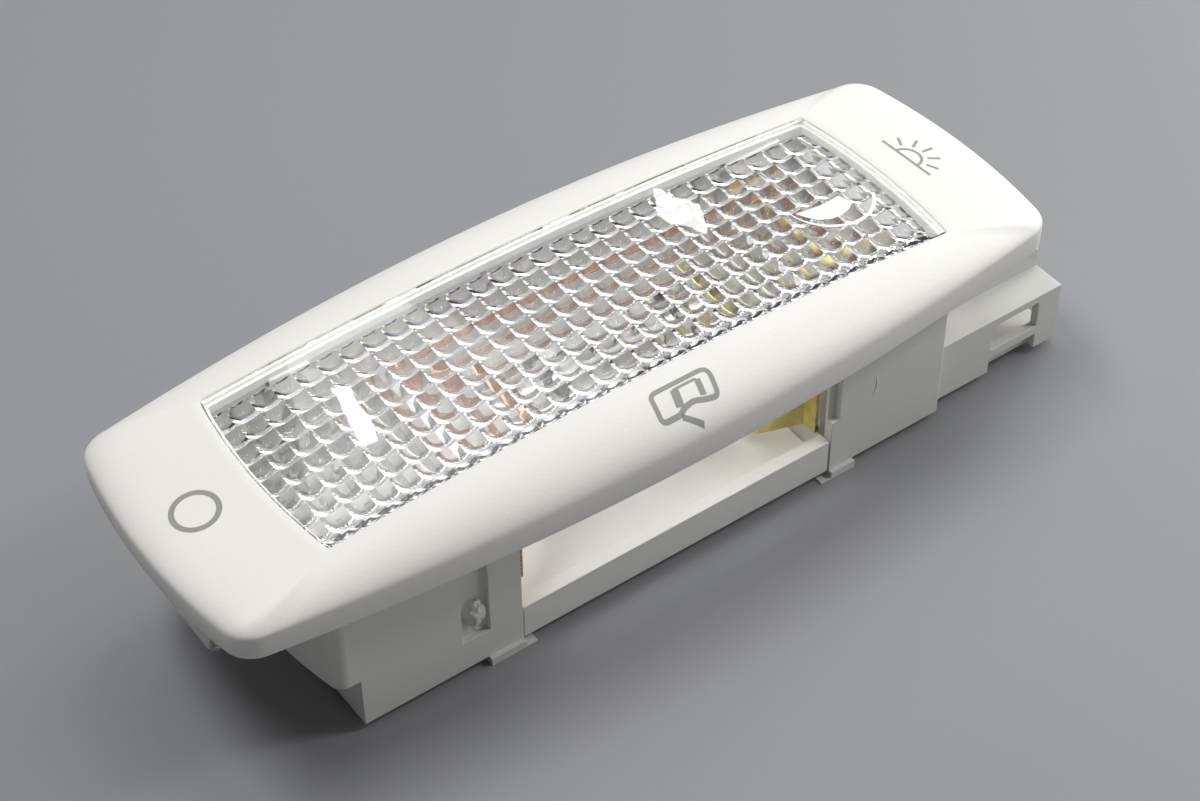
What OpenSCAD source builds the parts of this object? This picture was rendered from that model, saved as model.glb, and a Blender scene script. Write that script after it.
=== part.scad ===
// Interior reading light: a rocking cover with a prismatic lens over a moulded lamp housing.
// Origin: centre of the whole outline, on the plane of the feet. +X to the connector, +Z to the lens.

/* [Cover] */
// Length of the cover over its bowed ends
cover_len = 131; // [124:1:145]
// Width of the cover across its bowed sides
cover_w = 50; // [48:1:58]
// Radius of the bow along each long side
side_bow_r = 400; // [320:10:900]
// Radius of the bow across each end
end_bow_r = 92; // [80:1:140]
// Radius of the cover's plan corners
corner_r = 4.5; // [3:0.5:6]
// Height of the plain skirt
skirt_h = 3.5; // [2.5:0.5:6]
// Rise of the crown above the skirt at mid length
crown_h = 5.4; // [5:0.2:8]
// Radius of the lengthwise arch of cover and lens
arch_r = 515; // [450:5:900]
// Thickness of the cover's wall
cover_wall = 2; // [1.6:0.1:2.4]
// Height of the skirt's lower edge above the housing's rim
skirt_gap = 2; // [1.5:0.1:4]
// Angle that the cover rocks each way
rock_deg = 4; // [2:0.5:4]

/* [Lens] */
// Length of the lens over its bowed ends
lens_len = 99; // [90:1:101]
// Width of the lens
lens_w = 30.6; // [28:0.2:31]
// Thickness of the lens at its plain border
lens_t = 1.6; // [1.2:0.1:2]
// Depth of the prisms below the border
prism_h = 0.9; // [0.5:0.1:1.2]
// Columns of prisms along the lens
prism_cols = 29; // [22:1:32]
// Rows of prisms across the lens
prism_rows = 8; // [6:1:10]
// Plain border of the lens at its right end
lens_end_border = 2.6; // [2:0.2:4]
// Plain border of the lens along its back edge
lens_back_border = 3; // [2:0.2:4]
// Narrow plain border on the two other edges
lens_border = 0.8; // [0.6:0.1:1.5]

/* [Housing] */
// Width of the housing over its side walls
housing_w = 36.3; // [36:0.1:37]
// Reach of the housing to the left of the rocking axis
housing_left = 47.5; // [45:0.5:50]
// Height of the step below the left end's overhang
step_h = 8.3; // [7:0.1:9.5]
// Reach of the left end over its base
end_over = 5.3; // [4:0.1:5.6]
// Radius of the left end's rounded corners
end_corner_r = 2; // [1.6:0.1:3]
// Reach of the housing to the right of the rocking axis
housing_right = 48.4; // [46:0.2:51]
// Height of the housing from its underside to its rim
housing_h = 22.3; // [22:0.1:25]
// Thickness of the housing's walls and floor
wall = 1.5; // [1.3:0.1:1.8]
// Left jamb of the side window
window_left = 23.3; // [21:0.1:25]
// Right jamb of the side window
window_right = 27.9; // [26:0.1:30]
// Height of the window's head above the underside
window_h = 18.2; // [17:0.2:18.6]
// Height of the feet below the housing
foot_h = 1.2; // [0.8:0.1:2]
// Radius of the rocking axis's trunnions
trunnion_r = 2; // [1.6:0.1:2.2]

/* [Floor tray] */
// Height of the tray's rails
rail_h = 5.5; // [4.5:0.1:7]
// Thickness of the tray's rails
rail_t = 2.1; // [1.6:0.1:2.6]
// Thickness of the tray's floor
tray_t = 1.4; // [1:0.1:1.8]

/* [Connector bay] */
// Length of the bay beyond the housing
bay_len = 23.4; // [20:0.2:26]
// Height of the bay's front shelf above the underside
bay_low_h = 10; // [9.4:0.2:11]
// Height of the bay's main block above the underside
bay_high_h = 13.1; // [12.4:0.1:15]
// Width of one connector blade
blade_w = 2.8; // [2.2:0.2:3.4]
// Distance between neighbouring blades
blade_pitch = 8; // [7:0.5:8.5]

/* [Bulb and contacts] */
// Length of the bulb between its contact tips
bulb_len = 36; // [34:0.5:37]
// Radius of the bulb's glass
bulb_r = 5; // [4:0.25:5.25]
// Radius of the bulb's end caps
cap_r = 3.5; // [3:0.1:3.8]
// Height of the bulb's axis above the housing's underside
bulb_h = 15.8; // [15:0.2:16.4]
// Thickness of the stamped strips
strip_t = 0.5; // [0.4:0.05:0.6]
// Height of the strips that stand on edge
strip_h = 4; // [3:0.25:4.5]

/* [Spring clip] */
// Width of the leaf clip
clip_w = 12; // [9:0.5:13]
// Thickness of the leaf clip's steel
clip_t = 0.6; // [0.5:0.05:0.8]
// Reach of the clip beyond its seat on the housing
clip_reach = 7.7; // [7:0.1:8.4]

/* [Hidden] */
$fn = 48;

gap = 0.3;        // running gap between the rocking pieces and the rest
fit = 0.15;       // assembly gap round pieces that are set into another
eps = 0.02;       // overlap of shapes that are cut or joined

// Heights above the plane of the feet
base_z = foot_h;
floor_z = base_z + wall;
rim_z = base_z + housing_h;
skirt_z0 = rim_z + skirt_gap;
skirt_z1 = skirt_z0 + skirt_h;
crown_z = skirt_z1 + crown_h;
pivot_z = rim_z - 0.3;
rail_z = base_z + rail_h;
bulb_z = base_z + bulb_h;
shelf_z = base_z + bay_low_h;
block_z = base_z + bay_high_h;

// Places along and across the lamp, from the rocking axis
half_w = housing_w / 2;
inner_y = half_w - wall;
bay_x1 = housing_right + bay_len;
home_x = -(bay_x1 - cover_len / 2) / 2;
jamb_l = -window_left;
jamb_r = window_right;
bulb_x = (jamb_l + jamb_r) / 2;
tip_l = bulb_x - bulb_len / 2;
tip_r = bulb_x + bulb_len / 2;

module at_home() translate([home_x, 0, 0]) children();

// Height of the arched top at a distance x from the rocking axis
function arch(x) = crown_z - (arch_r - sqrt(arch_r * arch_r - x * x));

// Outlines with bowed sides and ends

// Samples on one side arc, one corner and one end arc of a quarter outline
side_n = 9;
corner_n = 5;
end_n = 5;
quarter_n = side_n + corner_n + end_n;
loop_n = 4 * quarter_n;

// Centre of the corner arc that touches a side arc of radius rs and an end arc of radius re
function corner_centre(hl, hw, rs, re, rc) =
    let (a = [0, hw - rs], b = [hl - re, 0], ra = rs - rc, rb = re - rc,
         d = norm(b - a), e = (b - a) / d,
         k = (ra * ra - rb * rb + d * d) / (2 * d), h = sqrt(ra * ra - k * k))
    a + k * e + h * [e.y, -e.x];

// One quarter outline from the middle of a side to the middle of an end; z holds 0 on the side, 1 on the end
function quarter(hl, hw, rs, re, rc) =
    let (a = [0, hw - rs], b = [hl - re, 0], p = corner_centre(hl, hw, rs, re, rc),
         t0 = atan2(p.x, p.y - a.y), t1 = atan2(p.x - b.x, p.y))
    concat(
        [for (i = [0:side_n - 1]) let (t = t0 * i / side_n) [a.x + rs * sin(t), a.y + rs * cos(t), 0]],
        [for (i = [0:corner_n - 1]) let (f = i / corner_n, t = t0 + (t1 - t0) * f)
            [p.x + rc * sin(t), p.y + rc * cos(t), f]],
        [for (i = [0:end_n]) let (t = t1 + (90 - t1) * i / end_n) [b.x + re * sin(t), b.y + re * cos(t), 1]]);

// The whole outline, clockwise from the middle of the back side
function loop(q) = let (n = len(q) - 1) concat(
    q,
    [for (i = [n - 1:-1:0]) [q[i].x, -q[i].y, q[i].z]],
    [for (i = [1:n]) [-q[i].x, -q[i].y, q[i].z]],
    [for (i = [n - 1:-1:1]) [-q[i].x, q[i].y, q[i].z]]);

function outline(hl, hw, rs, re, rc) = loop(quarter(hl, hw, rs, re, rc));

lens_side_r = 60000;
lens_corner_r = 0.4;
ledge_w = lens_border;
ledge_root = 1.2;
ledge_t = 1.2;
opening_l = lens_len / 2 + fit;
opening_w = lens_w / 2 + fit;

function cover_ring(inset) =
    outline(cover_len / 2 - inset, cover_w / 2 - inset, side_bow_r - inset, end_bow_r - inset, corner_r - inset * 0.7);
function lens_ring(grow) =
    outline(opening_l + grow, opening_w + grow, lens_side_r, end_bow_r, lens_corner_r + max(grow, 0));

outer_ring = cover_ring(0);
inner_ring = cover_ring(cover_wall);
opening_ring = lens_ring(0);
ledge_ring = lens_ring(-ledge_w);
root_ring = lens_ring(ledge_root);

// Fall of the crown between the lens and the skirt: f runs 0 to 1, e is 0 on the sides and 1 on the ends
side_power = 2.2;
end_power = 9;
edge_power = 0.62;
function fall(f, e) = 1 - pow(1 - pow(f, side_power + (end_power - side_power) * e), edge_power);

function crown_point(i, f) =
    let (l = opening_ring[i], o = outer_ring[i], x = l.x + (o.x - l.x) * f, y = l.y + (o.y - l.y) * f)
    [x, y, arch(x) - (arch(o.x) - skirt_z1) * fall(f, o.z)];

function under_point(i, f) =
    let (l = root_ring[i], o = inner_ring[i], x = l.x + (o.x - l.x) * f, y = l.y + (o.y - l.y) * f)
    [x, y, arch(x) - cover_wall - (arch(o.x) - skirt_z1) * fall(f * 0.93, o.z)];

crown_steps = [0, 0.25, 0.45, 0.6, 0.72, 0.82, 0.9, 0.95, 0.985, 1];
under_steps = [1, 0.8, 0.5, 0];

// Closed section of the cover's wall at one place of the loop
function cover_section(i) =
    let (o = outer_ring[i], n = inner_ring[i], l = opening_ring[i], g = ledge_ring[i], r = root_ring[i],
         seat = arch(l.x) - lens_t - fit)
    concat(
        [for (f = crown_steps) crown_point(i, f)],
        [[o.x, o.y, skirt_z0], [n.x, n.y, skirt_z0]],
        [for (f = under_steps) under_point(i, f)],
        [[r.x, r.y, seat - ledge_t], [g.x, g.y, seat - ledge_t], [g.x, g.y, seat], [l.x, l.y, seat]]);

section_n = len(crown_steps) + 2 + len(under_steps) + 4;

module cover_shell() {
    function at(i, j) = (i % loop_n) * section_n + j % section_n;
    polyhedron(
        points = [for (i = [0:loop_n - 1]) each cover_section(i)],
        faces = [for (i = [0:loop_n - 1], j = [0:section_n - 1]) each
            [[at(i, j), at(i, j + 1), at(i + 1, j + 1)], [at(i, j), at(i + 1, j + 1), at(i + 1, j)]]],
        convexity = 8);
}

// Ears and arms under the cover
ear_y = half_w + gap;
ear_t = 1.6;
ear_w = 6.4;
arm_y = inner_y - 2.45;
arm_t = 1.6;
arm_w = 6;
pad_w = 2.4;
pad_pitch = 3.2;
wiper_w = 2 * pad_pitch + pad_w + 0.6;
wiper_inset = 9.4;
detent_inset = 11.5;
wiper_arm_x = housing_right - wiper_inset;
detent_x = -housing_left + detent_inset;
arm_foot_z = bulb_z - 0.8;
ledge_under_z = crown_z - lens_t - fit - ledge_t;

module ear() {
    translate([0, ear_y + ear_t, pivot_z]) rotate([90, 0, 0]) {
        cylinder(r = ear_w / 2, h = ear_t);
        cylinder(r = trunnion_r, h = ear_t + gap + wall);
    }
    translate([-ear_w / 2, ear_y, pivot_z]) cube([ear_w, ear_t, crown_z - 1.9 - pivot_z]);
}

module arm(x, w) {
    top_z = arch(abs(x) + w / 2) - (crown_z - ledge_under_z) + 0.5;
    translate([x - w / 2, arm_y, arm_foot_z]) cube([w, arm_t, top_z - arm_foot_z]);
    // the web that ties the arm to the ledge
    translate([x - w / 2, arm_y, top_z - 1.5]) cube([w, opening_w + ledge_root - arm_y, 1.2]);
}

module cover() color([0.96, 0.95, 0.92]) at_home() {
    difference() {
        union() {
            cover_shell();
            ear();
            mirror([0, 1, 0]) ear();
            arm(wiper_arm_x, wiper_w);
            arm(detent_x, arm_w);
        }
        for (k = [-1:1])
            translate([detent_x, arm_y, detent_nose_z + k * detent_pitch]) rotate([45, 0, 0])
                cube([arm_w + 1, 0.9, 0.9], center = true);
        translate([wiper_arm_x, arm_y - 1, rivet_z]) rotate([-90, 0, 0]) cylinder(r = rivet_r, h = arm_t + 2);
    }
}

// The lens, arched with the cover; its prisms are pyramids on the underside

lens_hl = lens_len / 2;
lens_hw = lens_w / 2;
function lens_reach(y) = lens_hl - (end_bow_r - sqrt(end_bow_r * end_bow_r - y * y));
prism_x0 = -lens_hl + lens_border;
prism_x1 = lens_hl - lens_end_border;
prism_y0 = -lens_hw + lens_border;
prism_y1 = lens_hw - lens_back_border;
lens_xs = concat([-lens_hl], [for (i = [0:prism_cols]) prism_x0 + (prism_x1 - prism_x0) * i / prism_cols], [lens_hl]);
lens_ys = concat([-lens_hw], [for (j = [0:prism_rows]) prism_y0 + (prism_y1 - prism_y0) * j / prism_rows], [lens_hw]);

function lens_xy(x, y) = [x * lens_reach(y) / lens_hl, y];
function lens_at(x, y, drop) = let (p = lens_xy(x, y)) [p.x, p.y, arch(p.x) - drop];

module lens_body() {
    nx = len(lens_xs);
    ny = len(lens_ys);
    top = [for (x = lens_xs, y = lens_ys) lens_at(x, y, 0)];
    under = [for (x = lens_xs, y = lens_ys) lens_at(x, y, lens_t)];
    tips = [for (i = [1:nx - 3], j = [1:ny - 3])
        lens_at((lens_xs[i] + lens_xs[i + 1]) / 2, (lens_ys[j] + lens_ys[j + 1]) / 2, lens_t + prism_h)];
    function t(i, j) = i * ny + j;
    function u(i, j) = nx * ny + i * ny + j;
    function p(i, j) = 2 * nx * ny + (i - 1) * (ny - 3) + j - 1;
    function is_prism(i, j) = i > 0 && i < nx - 2 && j > 0 && j < ny - 2;
    upper = [for (i = [0:nx - 2], j = [0:ny - 2]) each
        [[t(i, j), t(i, j + 1), t(i + 1, j + 1)], [t(i, j), t(i + 1, j + 1), t(i + 1, j)]]];
    lower = [for (i = [0:nx - 2], j = [0:ny - 2]) each is_prism(i, j)
        ? [[u(i, j), u(i + 1, j), p(i, j)], [u(i + 1, j), u(i + 1, j + 1), p(i, j)],
           [u(i + 1, j + 1), u(i, j + 1), p(i, j)], [u(i, j + 1), u(i, j), p(i, j)]]
        : [[u(i, j), u(i + 1, j + 1), u(i, j + 1)], [u(i, j), u(i + 1, j), u(i + 1, j + 1)]]];
    long_edges = [for (i = [0:nx - 2]) each
        [[t(i, 0), t(i + 1, 0), u(i, 0)], [t(i + 1, 0), u(i + 1, 0), u(i, 0)],
         [t(i, ny - 1), u(i, ny - 1), t(i + 1, ny - 1)],
         [t(i + 1, ny - 1), u(i, ny - 1), u(i + 1, ny - 1)]]];
    end_edges = [for (j = [0:ny - 2]) each
        [[t(0, j), u(0, j), t(0, j + 1)], [t(0, j + 1), u(0, j), u(0, j + 1)],
         [t(nx - 1, j), t(nx - 1, j + 1), u(nx - 1, j)],
         [t(nx - 1, j + 1), u(nx - 1, j + 1), u(nx - 1, j)]]];
    polyhedron(points = concat(top, under, tips), faces = concat(upper, lower, long_edges, end_edges), convexity = 6);
}

module lens() color([0.85, 0.88, 0.9, 0.6]) at_home() lens_body();

// The housing

end_r = 72;
edge_r = 0.8;
end_x = -housing_left - end_over;
bow_n = 10;
round_n = 5;

// Right end of the housing's plan, inset by d
function right_plan(d) = let (y1 = half_w - d, x1 = housing_right - d)
    [[x1 - edge_r, -y1], [x1, -y1 + edge_r], [x1, y1 - edge_r], [x1 - edge_r, y1]];

// Plan of the base, flat at its left end
function base_plan(d) = let (y1 = half_w - d, x0 = -housing_left + d) concat(right_plan(d), [[x0, y1], [x0, -y1]]);

// Plan of the upper body: rounded corners and a bowed left end that reaches over the base
function upper_plan(d) =
    let (y1 = half_w - d, rc = end_corner_r - d, re = end_r - d, c = end_x + end_r,
         p = [c - sqrt(pow(re - rc, 2) - pow(y1 - rc, 2)), y1 - rc], t = atan2(p.y, p.x - c))
    concat(
        right_plan(d),
        [for (i = [0:round_n - 1]) let (a = 90 + (t - 90) * i / round_n) p + rc * [cos(a), sin(a)]],
        [for (i = [-bow_n:bow_n]) let (a = 180 + (180 - t) * i / bow_n) [c + re * cos(a), re * sin(a)]],
        [for (i = [round_n - 1:-1:0]) let (a = 90 + (t - 90) * i / round_n)
            [p.x + rc * cos(a), -p.y - rc * sin(a)]]);

cheek_w = 12;
cheek_rise = 3;

// Recess and heat-staked peg in the front wall beside the window
recess_x0 = jamb_l - 9.2;
recess_x1 = recess_x0 + 4.2;
recess_z0 = base_z + 5;
recess_depth = 0.9;
lump_x = (recess_x0 + recess_x1) / 2 - 0.2;
lump_rise = 4.6;
lump_r = 1.6;

// The bay beyond the right end
shelf_y = -half_w + 1.65;
block_y0 = -half_w + 6.95;
block_y1 = half_w - 5.15;
bay_wall = 1.3;
socket_x0 = housing_right + 8;
side_slot_x0 = socket_x0 + 2.4;
side_slot_x1 = bay_x1 - 4.2;
bar_z0 = base_z + 2.6;
bar_z1 = base_z + 4.2;
blade_z = base_z + 5.4;
blade_ys = [-blade_pitch - 1, -1, blade_pitch - 1];

module bay_block() {
    translate([housing_right - wall, shelf_y, base_z]) cube([bay_len + wall, block_y1 - shelf_y, bay_low_h]);
    translate([housing_right - wall, block_y0, base_z]) cube([bay_len + wall, block_y1 - block_y0, bay_high_h]);
}

module bay_hollow() {
    low_h = bay_low_h - 2 * bay_wall;
    translate([socket_x0, shelf_y + bay_wall, base_z + bay_wall])
        cube([bay_len, block_y1 - shelf_y - 2 * bay_wall, low_h]);
    translate([socket_x0, block_y0 + bay_wall, base_z + bay_wall])
        cube([bay_len, block_y1 - block_y0 - 2 * bay_wall, bay_high_h - 2 * bay_wall]);
    translate([side_slot_x0, shelf_y - 1, bar_z1])
        cube([side_slot_x1 - side_slot_x0, bay_wall + 2, shelf_z - bay_wall - bar_z1]);
    translate([side_slot_x0, shelf_y - 1, base_z - 1])
        cube([side_slot_x1 - side_slot_x0, bay_wall + 1.1, bar_z0 - base_z + 1]);
    for (y = blade_ys)
        translate([housing_right - wall - 1, y - blade_w / 2 - fit, blade_z - fit])
            cube([socket_x0 - housing_right + wall + 2, blade_w + 2 * fit, strip_t + 2 * fit]);
}

foot_y0 = -half_w - 0.7;
foot_in = 4;
foot_l = [jamb_l - 5.4, jamb_l + 1.7];
foot_r = [jamb_r - 1.8, jamb_r + 4.1];

module foot(x) translate([x[0], foot_y0, 0]) cube([x[1] - x[0], foot_in, foot_h]);

clip_seat_x = end_x - 0.7;
clip_z0 = base_z + 10.6;
clip_seat_h = 7;
clip_seat_t = 2;
stake_r = 1.1;
clip_bend = 0.7;
clip_drop = 1.4;
clip_lip = 1.2;
clip_top = clip_z0 + 7.6;

module clip_seat() {
    translate([clip_seat_x, -clip_w / 2 - 0.5, clip_z0 - 1]) cube([clip_seat_t, clip_w + 1, clip_seat_h + 2]);
    for (y = [-clip_w / 4, clip_w / 4])
        translate([clip_seat_x, y, clip_z0 + clip_seat_h - 2.5]) rotate([0, -90, 0])
            cylinder(r = stake_r - 0.05, h = clip_t + 0.5);
}

module jamb_wall(x0) translate([x0, -inner_y - eps, base_z]) cube([wall, 2 * inner_y + 2 * eps, partition_h]);

partition_h = housing_h - 7;
slit_w = 1.1;
notch_w = 1.3;
notch_h = 8.9;

module housing_cuts() {
    // the tray's bay, open below, and the side window
    translate([jamb_l, -inner_y, base_z - 1]) cube([jamb_r - jamb_l, 2 * inner_y, wall + 2]);
    translate([jamb_l, -half_w - 1, base_z - 1]) cube([jamb_r - jamb_l, wall + 1 + eps, window_h + 1]);
    translate([jamb_l, inner_y - eps, base_z - 1]) cube([jamb_r - jamb_l, wall + 1, rail_h + fit + 1]);
    // bores of the rocking axis
    for (s = [-1, 1])
        translate([0, s * (half_w + 1), pivot_z]) rotate([s * 90, 0, 0])
            cylinder(r = trunnion_r + 0.06, h = wall + 2);
    // recess beside the window, notch and slit at the right jamb
    translate([recess_x0, -half_w - 1, recess_z0]) cube([recess_x1 - recess_x0, 1 + recess_depth, housing_h]);
    translate([jamb_r - eps, -half_w - 1, base_z + notch_h]) cube([notch_w, 2, window_h - notch_h]);
    translate([jamb_r - eps, -inner_y, floor_z + 1]) cube([wall + 1, slit_w, partition_h]);
    // slots that the strips pass through
    translate([jamb_r - 1, tongue_y - fit, blade_z - fit]) cube([wall + 2, tongue_w + 2 * fit, strip_t + 2 * fit]);
    translate([jamb_r - 1, link_y - strip_t / 2 - fit, link_z - fit])
        cube([wall + 2, strip_t + 2 * fit, partition_h]);
}

module housing() color([0.83, 0.83, 0.8]) at_home() {
    difference() {
        union() {
            difference() {
                union() {
                    translate([0, 0, base_z]) linear_extrude(step_h + wall) polygon(base_plan(0));
                    translate([0, 0, base_z + step_h]) linear_extrude(housing_h - step_h) polygon(upper_plan(0));
                }
                translate([0, 0, floor_z]) linear_extrude(housing_h) polygon(base_plan(wall));
                translate([0, 0, floor_z + step_h]) linear_extrude(housing_h) polygon(upper_plan(wall));
            }
            jamb_wall(jamb_l - wall);
            jamb_wall(jamb_r);
            bay_block();
            clip_seat();
            foot(foot_l);
            foot(foot_r);
            mirror([0, 1, 0]) {
                foot(foot_l);
                foot(foot_r);
            }
            for (s = [0, 1]) mirror([0, s, 0])
                translate([-cheek_w / 2, inner_y, rim_z - 4]) cube([cheek_w, wall, 4 + cheek_rise]);
        }
        housing_cuts();
        bay_hollow();
    }
    translate([lump_x, -half_w + recess_depth + eps, recess_z0 + lump_rise])
        rotate([90, 0, 0]) cylinder(r1 = lump_r, r2 = lump_r * 0.6, h = recess_depth);
}

// The snap-in floor with its two rails
tray_x0 = jamb_l + 0.25;
tray_x1 = jamb_r - 0.15;

module floor_tray() color([0.9, 0.9, 0.88]) at_home() {
    for (s = [0, 1]) mirror([0, s, 0])
        translate([tray_x0, -half_w + 0.1, base_z]) cube([tray_x1 - tray_x0, rail_t, rail_h]);
    translate([tray_x0, -half_w + 1, base_z]) cube([tray_x1 - tray_x0, housing_w - 2, tray_t]);
}

// Bulb, wiper and rivet
glass_t = 0.5;
cap_len = 7.4;
cone_len = 2.2;
glass_end = bulb_len / 2 - cap_len;
wiper_t = 0.4;
wiper_z0 = arm_foot_z - wiper_t;
wiper_h = 5;
rivet_r = 0.8;
rivet_z = arm_foot_z + 3.2;
rivet_head_t = 0.25;

// Stamped strips

// Outline of a bent strip of thickness t along a path of points
function ribbon(path, t) =
    let (n = len(path),
         side = [for (i = [0:n - 1])
            let (a = path[max(i - 1, 0)], b = path[i], c = path[min(i + 1, n - 1)],
                 d0 = i == 0 ? (c - b) / norm(c - b) : (b - a) / norm(b - a),
                 d1 = i == n - 1 ? d0 : (c - b) / norm(c - b),
                 m = (d0 + d1) / norm(d0 + d1), k = 1 / (m * d0))
            [-m.y, m.x] * k * t / 2])
    concat([for (i = [0:n - 1]) path[i] + side[i]], [for (i = [n - 1:-1:0]) path[i] - side[i]]);

module edge_strip(path, z, h) translate([0, 0, z]) linear_extrude(h) polygon(ribbon(path, strip_t));

// Radius of the bulb's end cone at a distance d from its tip
cone_tip_r = 1.2;
cone_nose = 0.3;
function cone_r(d) = cone_tip_r + (cap_r - cone_tip_r) * (d - cone_nose) / (cone_len - cone_nose);
tip_bite = 0.9;
seat_hole_r = cone_r(tip_bite + strip_t / 2) + 0.03;
link_y = arm_y - 1.8;
pad_y = arm_y - wiper_t - rivet_head_t - gap - strip_t / 2;
link_z = bulb_z - strip_h / 2;
link_end_x = wiper_arm_x - pad_pitch;
leaf_h = 9;
leaf_half = 5.5;
leaf_root_y = 11;
link_bend = 1.4;
link_jog = 0.8;
leaf_z = bulb_z - leaf_h / 2;

// The bulb's cone tips seat in the holes of the two leaves
module leaf_hole(x) translate([x - 2, 0, bulb_z]) rotate([0, 90, 0]) cylinder(r = seat_hole_r, h = 4);

module contact_left() color([0.72, 0.45, 0.3]) at_home() {
    x_wall = jamb_l + strip_t / 2;
    x_leaf = tip_l + tip_bite;
    x_link = x_wall + 2;
    difference() {
        union() {
            edge_strip([[x_wall, -half_w + 0.25], [x_wall, -leaf_root_y], [x_leaf, -leaf_half], [x_leaf, leaf_half],
                [x_link, link_y - link_bend], [x_link, link_y]], leaf_z, leaf_h);
            edge_strip([[x_link - strip_t / 2, link_y], [link_end_x - pad_w / 2 - link_jog, link_y],
                [link_end_x - pad_w / 2, pad_y], [link_end_x + pad_w / 2, pad_y]], link_z, strip_h);
        }
        leaf_hole(x_leaf);
        translate([jamb_l - 1, -half_w - 1, base_z + window_h - gap]) cube([3, wall + 1 + gap, leaf_h]);
    }
}

right_leaf_low = base_z + 5;

module contact_right() color([0.8, 0.66, 0.3]) at_home() {
    x_wall = jamb_r - strip_t / 2;
    x_leaf = tip_r - tip_bite;
    difference() {
        edge_strip([[x_wall, tongue_y], [x_wall, tongue_y + tongue_w], [x_leaf + 1.9, -leaf_root_y + 0.5],
            [x_leaf, -leaf_half], [x_leaf, leaf_half]],
            right_leaf_low, leaf_z + leaf_h - right_leaf_low);
        leaf_hole(x_leaf);
    }
}

// A blade that runs from x0 to the mouth of the connector
blade_x1 = bay_x1 - 4;
module blade(x0, y) {
    translate([x0, y - blade_w / 2, blade_z]) cube([blade_x1 - x0, blade_w, strip_t]);
}

// The supply strip's tongue passes the right jamb and meets the right contact's foot
tongue_y = -inner_y + 1.45;
tongue_w = 2.5;

module supply_strip() color([0.8, 0.66, 0.3]) at_home() {
    x0 = jamb_r + wall + 0.8;
    y1 = blade_ys[0] + blade_w / 2;
    blade(x0, blade_ys[0]);
    translate([x0, tongue_y, blade_z]) cube([pad_w, y1 - tongue_y, strip_t]);
    translate([jamb_r, tongue_y, blade_z]) cube([wall + 1, tongue_w, strip_t]);
}

ground_x = wiper_arm_x;
door_x = wiper_arm_x + pad_pitch;
door_top = wiper_z0 + wiper_arm_x * sin(rock_deg) - gap;
ground_top = wiper_z0 - gap;

// A pad stands on edge behind the wiper and runs down and forward to its blade
module pad_strip(x, y, top) {
    translate([x - pad_w / 2, pad_y - strip_t / 2, blade_z]) cube([pad_w, strip_t, top - blade_z]);
    translate([x - pad_w / 2, y - blade_w / 2, blade_z]) cube([pad_w, pad_y + strip_t / 2 - y + blade_w / 2, strip_t]);
    blade(x - pad_w / 2, y);
}

module ground_strip() color([0.8, 0.66, 0.3]) at_home() pad_strip(ground_x, blade_ys[1], ground_top);
module door_strip() color([0.72, 0.45, 0.3]) at_home() pad_strip(door_x, blade_ys[2], door_top);

// The wiper bridges the three pads; it wraps under its arm and is riveted
module wiper() color([0.85, 0.7, 0.35]) at_home() difference() {
    union() {
        translate([wiper_arm_x - wiper_w / 2, arm_y - wiper_t, wiper_z0]) cube([wiper_w, wiper_t, wiper_h]);
        translate([wiper_arm_x - wiper_w / 2, arm_y - wiper_t, wiper_z0]) cube([wiper_w, arm_t + wiper_t, wiper_t]);
    }
    translate([wiper_arm_x, arm_y - 2, rivet_z]) rotate([-90, 0, 0]) cylinder(r = rivet_r, h = 4);
}

module wiper_rivet() color([0.7, 0.7, 0.72]) at_home() translate([wiper_arm_x, 0, rivet_z]) {
    translate([0, arm_y - wiper_t, 0]) rotate([-90, 0, 0]) cylinder(r = rivet_r, h = arm_t + wiper_t);
    translate([0, arm_y + arm_t, 0]) rotate([-90, 0, 0]) cylinder(r = rivet_r * 1.6, h = 0.4);
    translate([0, arm_y - wiper_t - rivet_head_t, 0]) rotate([-90, 0, 0])
        cylinder(r = rivet_r * 1.6, h = rivet_head_t);
}

// Steel leaf whose nose runs in the three notches of the cover's arm
detent_nose_z = pivot_z - 4.9;
detent_pitch = abs(detent_x) * sin(rock_deg);
detent_w = 4;
leaf_y = arm_y - 2.2;
leaf_foot = 7;
leaf_bend = 1.5;
nose_h = 2.4;
detent_t = 0.5;

module detent_spring() color([0.75, 0.76, 0.78]) at_home()
    translate([detent_x - detent_w / 2, 0, 0]) rotate([90, 0, 90]) linear_extrude(detent_w)
        polygon(ribbon([[leaf_y - leaf_foot, floor_z + detent_t / 2], [leaf_y - leaf_bend, floor_z + detent_t / 2],
            [leaf_y - 0.4, floor_z + leaf_foot], [leaf_y, detent_nose_z - nose_h],
            [arm_y - gap - detent_t * 0.7, detent_nose_z], [leaf_y, detent_nose_z + nose_h]], detent_t));

// The leaf clip: seat on the housing, floor leg, fold and outer leg
module spring_clip() color([0.78, 0.79, 0.8]) at_home() {
    x0 = clip_seat_x - clip_t / 2;
    x1 = clip_seat_x - clip_reach;
    difference() {
        translate([0, clip_w / 2, 0]) rotate([90, 0, 0]) linear_extrude(clip_w)
            polygon(ribbon([[x0, clip_z0 + clip_seat_h], [x0, clip_z0 + clip_bend], [x0 - clip_bend, clip_z0],
                [x1 + clip_bend, clip_z0 + clip_drop], [x1, clip_z0 + clip_drop + clip_bend],
                [x1 + clip_bend, clip_top - clip_lip], [x1 + clip_bend + clip_lip, clip_top]], clip_t));
        for (y = [-clip_w / 4, clip_w / 4])
            translate([clip_seat_x - 2, y, clip_z0 + clip_seat_h - 2.5]) rotate([0, 90, 0])
                cylinder(r = stake_r, h = 4);
    }
}

// The festoon bulb, its axis along the lamp
module along_bulb() translate([bulb_x, 0, bulb_z]) rotate([0, 90, 0]) children();

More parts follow.
